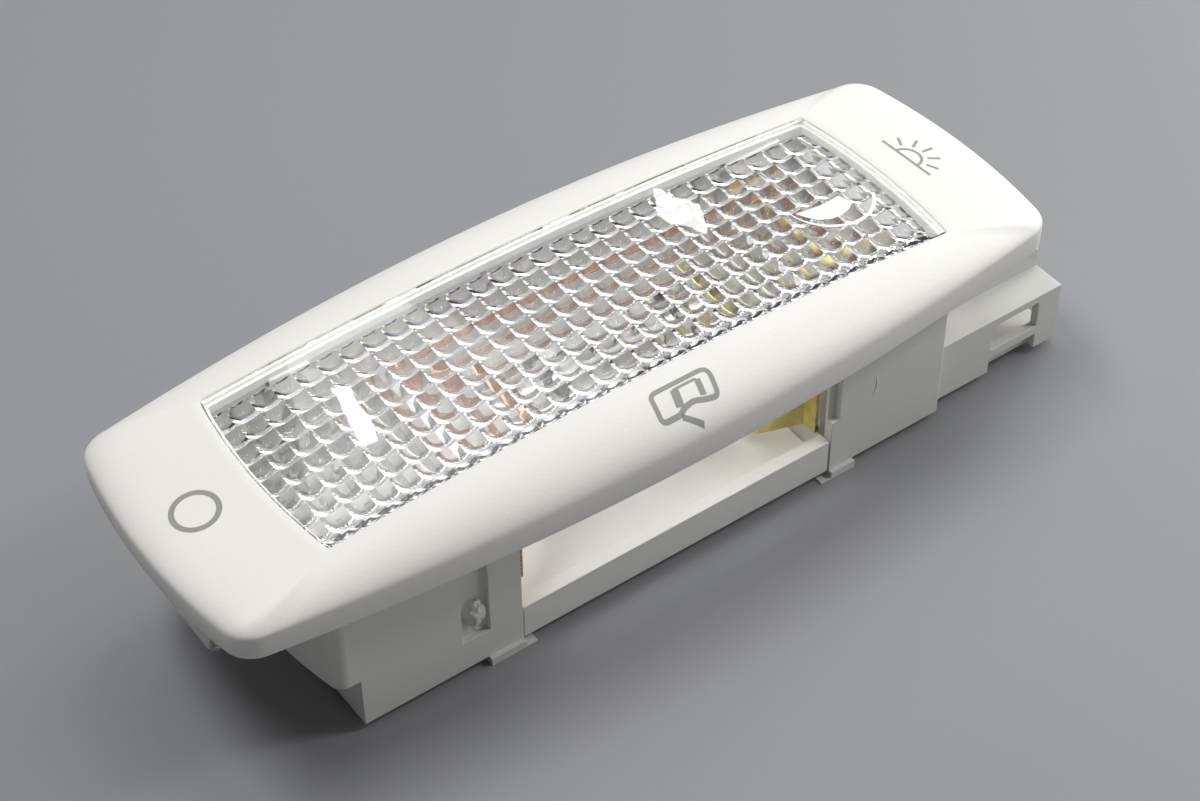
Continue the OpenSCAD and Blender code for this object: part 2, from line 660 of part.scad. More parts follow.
module glass_form(d) rotate_extrude() polygon([
    [0, -glass_end - 2 + d], [cap_r - glass_t - d, -glass_end - 2 + d], [cap_r - glass_t - d, -glass_end],
    [bulb_r - d, -glass_end + 3], [bulb_r - d, glass_end - 3], [cap_r - glass_t - d, glass_end],
    [cap_r - glass_t - d, glass_end + 2 - d], [0, glass_end + 2 - d]]);

module bulb_glass() color([0.9, 0.92, 0.95, 0.5]) at_home() along_bulb() difference() {
    glass_form(0);
    glass_form(glass_t);
}

module cap_form() rotate_extrude() polygon([
    [cap_r - glass_t + 0.05, 0], [cap_r, 0], [cap_r, cap_len - cone_len], [cone_tip_r, cap_len - cone_nose],
    [0, cap_len],
    [0, cap_len - 1.6], [0.8, cap_len - 1.8], [cap_r - glass_t + 0.05, cap_len - cone_len - 0.6]]);

module bulb_cap_right() color([0.76, 0.74, 0.68]) at_home() along_bulb()
    translate([0, 0, glass_end]) cap_form();

module bulb_cap_left() color([0.76, 0.74, 0.68]) at_home() along_bulb() mirror([0, 0, 1])
    translate([0, 0, glass_end]) cap_form();

lead_r = 0.25;
filament_len = 8;
lead_reach = glass_end + 2 - glass_t - filament_len / 2;

module bulb_lead_right() color([0.6, 0.6, 0.62]) at_home() along_bulb()
    translate([0, 0, filament_len / 2]) cylinder(r = lead_r, h = lead_reach, $fn = 16);

module bulb_lead_left() color([0.6, 0.6, 0.62]) at_home() along_bulb() mirror([0, 0, 1])
    translate([0, 0, filament_len / 2]) cylinder(r = lead_r, h = lead_reach, $fn = 16);

module bulb_filament() color([0.35, 0.35, 0.36]) at_home() along_bulb()
    translate([0, 0, -filament_len / 2]) cylinder(r = 0.5, h = filament_len, $fn = 16);

housing();
floor_tray();
spring_clip();
contact_left();
contact_right();
supply_strip();
ground_strip();
door_strip();
bulb_glass();
bulb_filament();
bulb_lead_left();
bulb_lead_right();
bulb_cap_left();
bulb_cap_right();
detent_spring();
cover();
lens();
wiper();
wiper_rivet();
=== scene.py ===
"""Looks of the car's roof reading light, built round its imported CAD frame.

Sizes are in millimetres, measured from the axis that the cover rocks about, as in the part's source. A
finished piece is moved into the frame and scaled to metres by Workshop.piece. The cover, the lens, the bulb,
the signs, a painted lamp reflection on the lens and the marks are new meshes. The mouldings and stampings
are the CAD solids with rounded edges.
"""

from __future__ import annotations

import logging
import math
from collections.abc import Callable, Iterable, Sequence
from dataclasses import dataclass, field
from enum import Enum

import bmesh
import bpy
from bmesh.types import BMEdge, BMesh, BMVert
from mathutils import Matrix, Vector, noise
from mathutils.bvhtree import BVHTree

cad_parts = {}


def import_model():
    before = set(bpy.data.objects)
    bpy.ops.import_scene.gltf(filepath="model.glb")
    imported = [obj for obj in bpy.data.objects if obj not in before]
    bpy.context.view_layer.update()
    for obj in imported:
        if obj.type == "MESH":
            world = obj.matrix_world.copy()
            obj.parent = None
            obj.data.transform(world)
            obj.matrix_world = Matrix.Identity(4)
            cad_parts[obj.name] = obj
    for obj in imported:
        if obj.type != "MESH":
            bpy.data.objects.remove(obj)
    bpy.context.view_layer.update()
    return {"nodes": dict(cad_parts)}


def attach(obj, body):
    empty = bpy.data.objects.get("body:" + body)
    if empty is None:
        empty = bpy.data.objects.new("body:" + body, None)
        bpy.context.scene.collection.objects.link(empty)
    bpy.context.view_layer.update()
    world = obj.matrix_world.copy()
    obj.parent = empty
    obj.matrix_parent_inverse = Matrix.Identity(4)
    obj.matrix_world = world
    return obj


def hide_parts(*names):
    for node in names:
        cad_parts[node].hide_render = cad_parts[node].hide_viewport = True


LOG = logging.getLogger("reading_light")

MM = 0.001
# Where the axis that the cover rocks about stands in the frame
HOME_X = -3.15
# The middle of a noise pattern, where nearly all of its values lie
PATTERN_LOW, PATTERN_HIGH = 0.3, 0.7

Socket = bpy.types.NodeSocket
Triple = tuple[float, float, float]
Pair = tuple[float, float]
Path = Sequence[Pair]


class Body(Enum):
    """The two CAD bodies that pieces ride on."""

    LAMP = "lamp_body"
    ROCKER = "rocker"


class Slot(Enum):
    """The record's material slots."""

    COVER = "cover_plastic"
    LENS = "lens_plastic"
    HOUSING = "housing_plastic"
    TRAY = "tray_plastic"
    CLIP = "clip_steel"
    COPPER = "copper"
    BRASS = "brass"
    BULB_GLASS = "bulb_glass"
    BULB_METAL = "bulb_metal"
    FILAMENT = "filament"
    SPRING = "spring_steel"


# Finishes


class NodeSheet:
    """A material's node tree, with short calls for the nodes that the finishes use."""

    def __init__(self, name: str) -> None:
        """Start an empty node material called name."""
        self.material = bpy.data.materials.new(name)
        self.material.use_nodes = True
        self.tree = self.material.node_tree
        self.tree.nodes.clear()
        self.output = self.tree.nodes.new("ShaderNodeOutputMaterial")
        self.place = self.tree.nodes.new("ShaderNodeTexCoord").outputs["Object"]

    def node(self, kind: str, **inputs: object) -> bpy.types.Node:
        """Add a node.

        Args:
            kind: Blender's node type.
            inputs: Values or sockets for the node's inputs, with underscores for the blanks in their names.

        Returns:
            The new node.
        """
        made = self.tree.nodes.new(kind)
        for key, value in inputs.items():
            self.feed(made.inputs[key.replace("_", " ")], value)
        return made

    def feed(self, socket: Socket, value: object) -> None:
        """Give an input a value, or join it to an output."""
        if isinstance(value, Socket):
            self.tree.links.new(value, socket)
        else:
            socket.default_value = value

    def math(self, operation: str, *values: object) -> Socket:
        """Add a Math node on the values and return its result."""
        made = self.tree.nodes.new("ShaderNodeMath")
        made.operation = operation
        for socket, value in zip(made.inputs, values):
            self.feed(socket, value)
        return made.outputs[0]

    def noise(self, grain_mm: float, detail: float = 3.0, stretch: Vector | None = None) -> Socket:
        """Add a noise pattern of one grain size.

        Args:
            grain_mm: Size of one grain in millimetres.
            detail: Octaves of finer noise.
            stretch: Factors that lengthen the grain along the axes.

        Returns:
            The pattern's value socket.
        """
        place = self.place
        if stretch is not None:
            mapping = self.node("ShaderNodeMapping", Vector=place)
            mapping.inputs["Scale"].default_value = [1 / s for s in stretch]
            place = mapping.outputs[0]
        scale = 1 / (grain_mm * MM)
        return self.node("ShaderNodeTexNoise", Vector=place, Scale=scale, Detail=detail).outputs[0]

    def blend(self, low: Sequence[float], high: Sequence[float], by: Socket) -> Socket:
        """Mix two colours by a pattern's value."""
        ramp = self.tree.nodes.new("ShaderNodeValToRGB")
        stops = ((PATTERN_LOW, low), (PATTERN_HIGH, high))
        for element, (position, colour) in zip(ramp.color_ramp.elements, stops):
            element.position = position
            element.color = (*colour, 1)
        self.tree.links.new(by, ramp.inputs[0])
        return ramp.outputs[0]

    def ranged(self, low: float, high: float, by: Socket) -> Socket:
        """Spread a pattern's middle over the range from low to high."""
        span = {"From_Min": PATTERN_LOW, "From_Max": PATTERN_HIGH, "To_Min": low, "To_Max": high}
        return self.node("ShaderNodeMapRange", Value=by, **span).outputs[0]

    def bump(self, height: Socket, depth_mm: float, under: Socket | None = None) -> Socket:
        """Add a bump of a height pattern, depth_mm deep, over another one, and return its normal."""
        made = self.node("ShaderNodeBump", Height=height, Distance=depth_mm * MM)
        if under is not None:
            self.tree.links.new(under, made.inputs["Normal"])
        return made.outputs[0]

    def finish(self, shader: Socket) -> bpy.types.Material:
        """Join the shader to the output and return the material."""
        self.tree.links.new(shader, self.output.inputs["Surface"])
        return self.material


@dataclass(frozen=True)
class MouldedPlastic:
    """An opaque moulding with spark-eroded grain, faint flow marks and a slightly uneven colour.

    The grain and the flow marks each have a size and a depth in millimetres.
    """

    name: str
    colour: Triple
    roughness: float
    grain: Pair
    flow: Pair
    unevenness: float
    grain_share: float = 0.35
    lightest: float = 0.95
    ior: float = 1.5

    def material(self) -> bpy.types.Material:
        """Make the node material."""
        sheet = NodeSheet(self.name)
        (grain_mm, grain_depth), (flow_mm, flow_depth) = self.grain, self.flow
        cloud = sheet.noise(flow_mm, 2)
        grain = sheet.noise(grain_mm, 2)
        dark = [c * (1 - self.unevenness) for c in self.colour]
        light = [min(c * (1 + self.unevenness), self.lightest) for c in self.colour]
        mix = sheet.math("MULTIPLY", cloud, 1 - self.grain_share)
        mix = sheet.math("MULTIPLY_ADD", grain, self.grain_share, mix)
        flow = sheet.bump(cloud, flow_depth)
        plastic = sheet.node(
            "ShaderNodeBsdfPrincipled",
            Base_Color=sheet.blend(dark, light, mix),
            Roughness=sheet.ranged(self.roughness - 0.05, self.roughness + 0.06, grain),
            Normal=sheet.bump(grain, grain_depth, flow),
            IOR=self.ior,
        )
        return sheet.finish(plastic.outputs[0])


@dataclass(frozen=True)
class SheetMetal:
    """Rolled or stamped metal with fine streaks along one axis and a cloudy tarnish."""

    name: str
    colour: Triple
    tarnish: Triple
    roughness: float
    streak: Triple = (1.0, 14.0, 1.0)
    streak_mm: float = 0.12
    depth: float = 0.004
    tarnish_mm: float = 4.0

    def material(self) -> bpy.types.Material:
        """Make the node material."""
        sheet = NodeSheet(self.name)
        streaks = sheet.noise(self.streak_mm, 3, Vector(self.streak))
        cloud = sheet.noise(self.tarnish_mm, 3)
        metal = sheet.node(
            "ShaderNodeBsdfPrincipled",
            Base_Color=sheet.blend(self.tarnish, self.colour, cloud),
            Roughness=sheet.ranged(self.roughness - 0.06, self.roughness + 0.1, streaks),
            Normal=sheet.bump(streaks, self.depth),
            Metallic=1.0,
        )
        return sheet.finish(metal.outputs[0])


@dataclass(frozen=True)
class ClearMoulding:
    """Clear plastic or glass that lets the lamps through to what lies behind it."""

    name: str
    tint: Triple
    ior: float
    lamp_share: float = 0.85
    gloss: float = 0.0
    gloss_roughness: float = 0.12
    wave_mm: float = 5.0
    wave_depth: float = 0.01

    def material(self) -> bpy.types.Material:
        """Make the node material."""
        sheet = NodeSheet(self.name)
        glass = sheet.node(
            "ShaderNodeBsdfPrincipled",
            Normal=sheet.bump(sheet.noise(self.wave_mm, 1), self.wave_depth),
            Base_Color=(*self.tint, 1),
            Roughness=0.0,
            IOR=self.ior,
            Transmission_Weight=1.0,
            Coat_Weight=self.gloss,
            Coat_Roughness=self.gloss_roughness,
        )
        open_air = sheet.node("ShaderNodeBsdfTransparent", Color=(*[self.lamp_share] * 3, 1))
        shadow = sheet.node("ShaderNodeLightPath").outputs["Is Shadow Ray"]
        mix = sheet.node("ShaderNodeMixShader")
        for socket, value in zip(mix.inputs, (shadow, glass.outputs[0], open_air.outputs[0])):
            sheet.feed(socket, value)
        return sheet.finish(mix.outputs[0])


@dataclass(frozen=True)
class PrintedInk:
    """Pad-printed ink, matt and slightly thin in places. The white one is the paint of a painted lamp
    reflection on the lens.
    """

    name: str
    colour: Triple
    speck_mm: float = 0.25
    thinning: float = 1.18

    def material(self) -> bpy.types.Material:
        """Make the node material."""
        sheet = NodeSheet(self.name)
        specks = sheet.noise(self.speck_mm, 2)
        thin = [min(c * self.thinning, 1.0) for c in self.colour]
        ink = sheet.node(
            "ShaderNodeBsdfPrincipled",
            Base_Color=sheet.blend(self.colour, thin, specks),
            Roughness=sheet.ranged(0.45, 0.6, specks),
        )
        return sheet.finish(ink.outputs[0])


Finish = MouldedPlastic | SheetMetal | ClearMoulding | PrintedInk


@dataclass
class Finishes:
    """Every finish of the lamp, made once."""

    made: dict[str, bpy.types.Material] = field(default_factory=dict)

    def get(self, finish: Finish) -> bpy.types.Material:
        """Return the material of a finish, made on first use."""
        if finish.name not in self.made:
            self.made[finish.name] = finish.material()
        return self.made[finish.name]


COVER_PLASTIC = MouldedPlastic("cover_moulding", (0.80, 0.785, 0.745), 0.46, (0.42, 0.02), (16, 0.03), 0.02)
HOUSING_PLASTIC = MouldedPlastic(
    "housing_moulding", (0.66, 0.655, 0.62), 0.42, (0.3, 0.006), (9, 0.05), 0.025
)
TRAY_PLASTIC = MouldedPlastic("tray_moulding", (0.74, 0.735, 0.70), 0.40, (0.3, 0.005), (7, 0.05), 0.02)
CLIP_STEEL = SheetMetal("clip_steel_sheet", (0.74, 0.73, 0.70), (0.55, 0.53, 0.48), 0.22)
SPRING_STEEL = SheetMetal("spring_steel_strip", (0.70, 0.71, 0.73), (0.52, 0.52, 0.53), 0.25, (1, 1, 14))
COPPER = SheetMetal("copper_strip", (0.83, 0.47, 0.30), (0.56, 0.27, 0.16), 0.24, (14.0, 1.0, 1.0))
BRASS = SheetMetal("brass_strip", (0.78, 0.69, 0.30), (0.56, 0.47, 0.18), 0.3, (14.0, 1.0, 1.0))
CAP_METAL = SheetMetal("bulb_cap_metal", (0.74, 0.72, 0.68), (0.60, 0.57, 0.50), 0.28)
TUNGSTEN = SheetMetal("tungsten_wire", (0.32, 0.32, 0.34), (0.2, 0.2, 0.21), 0.35)
LENS_PLASTIC = ClearMoulding(
    "lens_clear", (0.97, 0.975, 0.98), ior=1.49, lamp_share=0.55, gloss=0.1, gloss_roughness=0.07
)
BULB_GLASS = ClearMoulding("bulb_clear", (0.98, 0.985, 0.985), ior=1.47)
GREY_INK = PrintedInk("sign_grey", (0.25, 0.25, 0.24))
# White paint for the crescent on the lens: a painted reflection of a lamp
REFLECTION_WHITE = PrintedInk("painted_reflection_white", (0.86, 0.86, 0.85))


# Mesh making


class Workshop:
    """Turns meshes made in millimetres into finished pieces of the lamp."""

    # Edges under this height, those of the thin feet, stay sharp
    SHARP_BELOW = 1.25
    # Doubled points of the CAD meshes lie closer than this, in metres
    MERGE_M = 2e-6
    # Faces that turn by less than FLAT_DEG become one, and those by more than CORNER_DEG get a rounded edge
    FLAT_DEG, CORNER_DEG = 1, 28
    ROUNDING_STRIPS = 2
    # Edges that turn by more than this stay sharp, on new pieces and on rounded ones
    SHARP_DEG, ROUNDED_SHARP_DEG = 35.0, 40.0

    def __init__(self, finishes: Finishes) -> None:
        """Keep the finishes that pieces are dressed in."""
        self.finishes = finishes
        self.to_frame = Matrix.Scale(MM, 4) @ Matrix.Translation((HOME_X, 0, 0))

    def piece(
        self,
        name: str,
        bm: BMesh,
        body: Body,
        slot: Slot,
        finish: Finish,
        replaces: Sequence[str] = (),
        sharp_deg: float = SHARP_DEG,
        in_frame: bool = False,
    ) -> bpy.types.Object:
        """Make a finished piece.

        Args:
            name: The piece's name.
            bm: Its mesh, which is used up.
            body: The CAD body that it rides on.
            slot: The record's slot; not used.
            finish: What its surface is made of.
            replaces: CAD nodes that it stands for.
            sharp_deg: Edges that turn by more than this stay sharp.
            in_frame: True if the mesh is already in the frame, in metres.

        Returns:
            The piece.
        """
        if not in_frame:
            bmesh.ops.transform(bm, matrix=self.to_frame, verts=bm.verts)
        for face in bm.faces:
            face.smooth = True
        for edge in bm.edges:
            if len(edge.link_faces) == 2:
                edge.smooth = edge.smooth and edge.calc_face_angle(0.0) < math.radians(sharp_deg)
        mesh = settle(name, bm)
        mesh.materials.append(self.finishes.get(finish))
        obj = add_object(name, mesh)
        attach(obj, body.value)
        if replaces:
            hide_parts(*replaces)
        LOG.info("%s: %d faces, on %s", name, len(mesh.polygons), body.value)
        return obj

    def rounded_node(
        self, node: bpy.types.Object, body: Body, slot: Slot, finish: Finish, radius_mm: float
    ) -> bpy.types.Object:
        """Make a copy of a CAD node, with its edges rounded by radius_mm, to stand for it, and return it."""
        bm = bmesh.new()
        bm.from_mesh(node.data)
        bmesh.ops.remove_doubles(bm, verts=bm.verts, dist=self.MERGE_M)
        flat = math.radians(self.FLAT_DEG)
        bmesh.ops.dissolve_limit(bm, angle_limit=flat, verts=bm.verts, edges=bm.edges)
        corners = [
            e for e in bm.edges
            if len(e.link_faces) == 2
            and e.calc_face_angle(0.0) > math.radians(self.CORNER_DEG)
            and max(v.co.z for v in e.verts) > self.SHARP_BELOW * MM
        ]
        bmesh.ops.bevel(
            bm,
            geom=corners,
            offset=radius_mm * MM,
            offset_type="OFFSET",
            segments=self.ROUNDING_STRIPS,
            profile=0.5,
            affect="EDGES",
            clamp_overlap=False,
            material=-1,
        )
        name = f"{node.name}_finished"
        piece = self.piece(name, bm, body, slot, finish, [node.name], self.ROUNDED_SHARP_DEG, True)
        normals = piece.modifiers.new("edges", "WEIGHTED_NORMAL")
        normals.keep_sharp = True
        return piece


def add_object(name: str, data: bpy.types.ID) -> bpy.types.Object:
    """Add an object to the scene and return it."""
    obj = bpy.data.objects.new(name, data)
    bpy.context.scene.collection.objects.link(obj)
    return obj


def settle(name: str, bm: BMesh) -> bpy.types.Mesh:
    """Turn a mesh under work into a finished one, which uses it up."""
    mesh = bpy.data.meshes.new(name)
    bm.to_mesh(mesh)
    bm.free()
    return mesh


def block(bm: BMesh, low: Sequence[float], high: Sequence[float], round_mm: float = 0.0) -> None:
    """Add a box from low to high, with rounded edges if round_mm is given."""
    made = bmesh.ops.create_cube(bm, size=1)["verts"]
    size = Vector(high) - Vector(low)
    bmesh.ops.scale(bm, vec=size, verts=made)
    bmesh.ops.translate(bm, vec=(Vector(high) + Vector(low)) / 2, verts=made)
    if round_mm:
        edges = list({e for v in made for e in v.link_edges})
        bmesh.ops.bevel(
            bm, geom=edges, offset=round_mm, segments=3, profile=0.5, affect="EDGES", material=-1
        )


def turned(profile: Path, steps: int = 48) -> BMesh:
    """Spin a profile of (distance along X, radius) points round the X axis into a closed form."""
    bm = bmesh.new()
    verts = [bm.verts.new((x, r, 0)) for x, r in profile]
    edges = [bm.edges.new(pair) for pair in zip(verts, verts[1:])]
    bmesh.ops.spin(
        bm, geom=verts + edges, cent=(0, 0, 0), axis=(1, 0, 0), angle=math.tau, steps=steps, use_merge=True
    )
    bmesh.ops.remove_doubles(bm, verts=bm.verts, dist=1e-4)
    bmesh.ops.recalc_face_normals(bm, faces=bm.faces)
    return bm


def spoke(centre: Vector, radius: float, turn: float, height: float) -> Vector:
    """Return the point on a circle in plan that lies a turn, in radians, clockwise from the back."""
    return Vector((centre.x + radius * math.sin(turn), centre.y + radius * math.cos(turn), height))


@dataclass(frozen=True)
class BowedOutline:
    """A plan outline with bowed sides, bowed ends and rounded corners, all in millimetres."""

    half_length: float
    half_width: float
    side_r: float
    end_r: float
    corner_r: float
    side_n: int = 26
    corner_n: int = 9
    end_n: int = 14

    def quarter(self) -> list[Vector]:
        """Return the points from the middle of the back side to the middle of the right end.

        A point's z holds 0 on the side and 1 on the end, and turns from one to the other over the corner.
        """
        side = Vector((0, self.half_width - self.side_r))
        end = Vector((self.half_length - self.end_r, 0))
        ra, rb = self.side_r - self.corner_r, self.end_r - self.corner_r
        gap = (end - side).length
        along = (end - side) / gap
        k = (ra * ra - rb * rb + gap * gap) / (2 * gap)
        corner = side + k * along + math.sqrt(ra * ra - k * k) * Vector((along.y, -along.x))
        t0 = math.atan2(corner.x, corner.y - side.y)
        t1 = math.atan2(corner.x - end.x, corner.y)
        points = [spoke(side, self.side_r, t0 * i / self.side_n, 0) for i in range(self.side_n)]
        for i in range(self.corner_n):
            f = i / self.corner_n
            points.append(spoke(corner, self.corner_r, t0 + (t1 - t0) * f, f))
        for i in range(self.end_n + 1):
            points.append(spoke(end, self.end_r, t1 + (math.pi / 2 - t1) * i / self.end_n, 1))
        return points

    def points(self) -> list[Vector]:
        """Return the whole outline, clockwise from the middle of the back side."""
        q = self.quarter()
        front = [Vector((p.x, -p.y, p.z)) for p in q[-2::-1]]
        left_front = [Vector((-p.x, -p.y, p.z)) for p in q[1:]]
        left_back = [Vector((-p.x, p.y, p.z)) for p in q[-2:0:-1]]
        return q + front + left_front + left_back


class RingLoft:
    """A shell that is drawn from one line of points to the next, in closed rings unless told otherwise."""

    def __init__(self, ring: Sequence[Vector], closed: bool = True) -> None:
        """Start the shell on its first ring."""
        self.bm = bmesh.new()
        self.tag = self.bm.verts.layers.int.new("place")
        verts = []
        for i, point in enumerate(ring):
            vert = self.bm.verts.new(point)
            vert[self.tag] = i
            verts.append(vert)
        ends = verts[1:] + verts[:1] if closed else verts[1:]
        self.edges = [self.bm.edges.new((a, b)) for a, b in zip(verts, ends)]
        self.first = list(self.edges)

    def draw(self, ring: Sequence[Vector]) -> None:
        """Extrude the open ring and put the new points on the given ones."""
        made = bmesh.ops.extrude_edge_only(self.bm, edges=self.edges)["geom"]
        fresh = {g for g in made if isinstance(g, BMVert)}
        for vert in fresh:
            vert.co = ring[vert[self.tag]]
        self.edges = [g for g in made if isinstance(g, BMEdge) and all(v in fresh for v in g.verts)]

    def close(self) -> BMesh:
        """Join the last ring to the first and return the closed mesh."""
        bmesh.ops.bridge_loops(self.bm, edges=self.edges + self.first)
        bmesh.ops.recalc_face_normals(self.bm, faces=self.bm.faces)
        return self.bm


# The rocking cover


@dataclass
class CoverForm:
    """Sizes of the cover, its lens seat, its ears and its arms."""

    cover_len: float = 131.0
    cover_w: float = 50.0
    side_bow_r: float = 400.0
    end_bow_r: float = 92.0
    corner_r: float = 4.5
    wall: float = 2.0
    skirt_z0: float = 25.5
    skirt_z1: float = 29.0
    crown_z: float = 34.4
    arch_r: float = 515.0
    side_power: float = 2.2
    end_power: float = 9.0
    edge_power: float = 0.62
    lens_len: float = 99.0
    lens_w: float = 30.6
    lens_t: float = 1.6
    fit: float = 0.15
    ledge_w: float = 0.8
    ledge_root: float = 1.2
    ledge_t: float = 1.2
    lens_side_r: float = 60000.0
    lens_corner_r: float = 0.4
    lip: float = 0.22
    hem: float = 0.3
    under_fall: float = 0.93
    ear_y: float = 18.45
    ear_t: float = 1.6
    ear_r: float = 3.2
    ear_top: float = 32.5
    pin_r: float = 2.0
    pin_tip: float = 16.66
    pivot_z: float = 23.2
    arm_y: float = 14.2
    arm_t: float = 1.6
    arm_foot: float = 16.2
    arm_spans: Path = ((34.3, 43.7), (-39.0, -33.0))

    def arch(self, x: float) -> float:
        """Return the height of the arched top at x."""
        return self.crown_z - (self.arch_r - math.sqrt(self.arch_r**2 - x * x))

    def outer(self, inset: float) -> list[Vector]:
        """Return the cover's outline, inset."""
        return BowedOutline(
            self.cover_len / 2 - inset,
            self.cover_w / 2 - inset,
            self.side_bow_r - inset,
            self.end_bow_r - inset,
            self.corner_r - inset * 0.7,
        ).points()

    def opening(self, grow: float) -> list[Vector]:
        """Return the lens opening's outline, grown outwards."""
        return BowedOutline(
            self.lens_len / 2 + self.fit + grow,
            self.lens_w / 2 + self.fit + grow,
            self.lens_side_r,
            self.end_bow_r,
            self.lens_corner_r + max(grow, 0),
        ).points()

    def fall(self, f: float, e: float) -> float:
        """Return the share of the crown's fall at f from lens to skirt; e is 0 on a side and 1 on an end."""
        power = self.side_power + (self.end_power - self.side_power) * e
        return 1 - (1 - f**power) ** self.edge_power

    def between(
        self, inner: list[Vector], outer: list[Vector], f: float, drop: float = 0.0, reach: float = 1.0
    ) -> list[Vector]:
        """Return the crown's ring at the share f of the way from the inner outline to the outer one."""
        ring = []
        for p, o in zip(inner, outer):
            x, y = p.x + (o.x - p.x) * f, p.y + (o.y - p.y) * f
            z = self.arch(x) - drop - (self.arch(o.x) - self.skirt_z1) * self.fall(f * reach, o.z)
            ring.append(Vector((x, y, z)))
        return ring


def level(ring: Iterable[Vector], z: float | Callable[[Vector], float]) -> list[Vector]:
    """Return a ring's points at a height, or at the height that z gives for each."""
    return [Vector((p.x, p.y, z(p) if callable(z) else z)) for p in ring]


class Cover:
    """The rocking cover with its ears and arms."""

    CROWN_STEPS = (
        0.08, 0.16, 0.26, 0.36, 0.45, 0.53, 0.6, 0.66, 0.72,
        0.77, 0.82, 0.86, 0.9, 0.93, 0.955, 0.975, 0.99, 1.0,
    )
    UNDER_STEPS = (1.0, 0.9, 0.8, 0.65, 0.5, 0.3, 0.0)

    def __init__(self, shop: Workshop, form: CoverForm) -> None:
        """Keep the workshop and the sizes."""
        self.shop = shop
        self.form = form
        self.top: BVHTree | None = None

    def build(self) -> None:
        """Make the cover, and keep its top for the signs to lie on."""
        shell = self.shell()
        self.top = BVHTree.FromBMesh(shell)
        self.carriers(shell)
        self.shop.piece("cover_shell", shell, Body.ROCKER, Slot.COVER, COVER_PLASTIC, ["cover"], sharp_deg=50)

    def height(self, x: float, y: float) -> float:
        """Return the height of the cover's top at a place in plan."""
        spot = self.top.ray_cast(Vector((x, y, 60)), Vector((0, 0, -1)))[0]
        return spot.z

    def shell(self) -> BMesh:
        """Draw the cover's wall from the lens seat over the crown and back under it."""
        form = self.form
        opening, root = form.opening(0), form.opening(form.ledge_root)
        outer, inner = form.outer(0), form.outer(form.wall)
        seat, lip, hem, foot = form.lens_t + form.fit, form.lip, form.hem, form.skirt_z0

        def rim(grow: float, drop: float) -> list[Vector]:
            return level(form.opening(grow), lambda p: form.arch(p.x) - drop)

        loft = RingLoft(rim(0, seat))
        for grow, drop in ((0, lip), (lip * 0.3, lip * 0.3), (lip, 0)):
            loft.draw(rim(grow, drop))
        for f in self.CROWN_STEPS:
            loft.draw(form.between(opening, outer, f))
        skirt = (
            (0, form.skirt_z1 - 0.6), (0, foot + hem), (0.1, foot + 0.08), (hem, foot),
            (form.wall - 0.2, foot), (form.wall, foot + 0.2),
        )
        for inset, z in skirt:
            loft.draw(level(form.outer(inset), z))
        for f in self.UNDER_STEPS:
            loft.draw(form.between(root, inner, f, form.wall, form.under_fall))
        ledge, shelf = -form.ledge_w, seat + form.ledge_t
        for grow, drop in ((form.ledge_root, shelf), (ledge, shelf), (ledge, seat)):
            loft.draw(rim(grow, drop))
        return loft.close()

    def carriers(self, bm: BMesh) -> None:
        """Add the ears with their trunnions and the two arms under the crown."""
        form = self.form
        near, far = form.ear_y, form.ear_y + form.ear_t
        # A disc as thick as its ear's block would share faces with it and show black there
        clear = 0.03
        drums = ((form.ear_r, near + clear, far - clear), (form.pin_r, form.pin_tip, near + 0.2))
        for side in (-1, 1):
            low_y, high_y = sorted((side * near, side * far))
            block(bm, (-form.ear_r, low_y, form.pivot_z), (form.ear_r, high_y, form.ear_top))
            for r, y0, y1 in drums:
                place = Matrix.Translation((0, side * (y0 + y1) / 2, form.pivot_z))
                bmesh.ops.create_cone(
                    bm, cap_ends=True, segments=48, radius1=r, radius2=r, depth=y1 - y0,
                    matrix=place @ Matrix.Rotation(math.pi / 2, 4, "X"),
                )
        web_y = form.lens_w / 2 + form.fit + form.ledge_root
        for x0, x1 in form.arm_spans:
            top_z = form.arch(max(abs(x0), abs(x1))) - form.lens_t - form.fit - form.ledge_t + 0.5
            block(bm, (x0, form.arm_y, form.arm_foot), (x1, form.arm_y + form.arm_t, top_z), 0.2)
            block(bm, (x0, form.arm_y + 0.2, top_z - 1.5), (x1, web_y, top_z - 0.3))


# The lens


@dataclass
class LensForm:
    """Sizes of the clear lens and of the pillow prisms on its underside."""

    length: float = 99.0
    width: float = 30.6
    thickness: float = 1.6
    bow_r: float = 92.0
    first_x: float = -49.53
    first_y: float = -13.3
    pitch_x: float = 3.27
    pitch_y: float = 3.24
    cols: int = 30
    rows: int = 8
    pillow_x: float = 0.65
    pillow_y: float = 0.6
    left_border: float = 0.3
    right_border: float = 2.0
    wall: float = 0.08
    front_slope: float = 0.8
    steps: int = 6

    def reach(self, y: float) -> float:
        """Return how far the bowed end stands from the middle at y."""
        return self.length / 2 - (self.bow_r - math.sqrt(self.bow_r**2 - y * y))


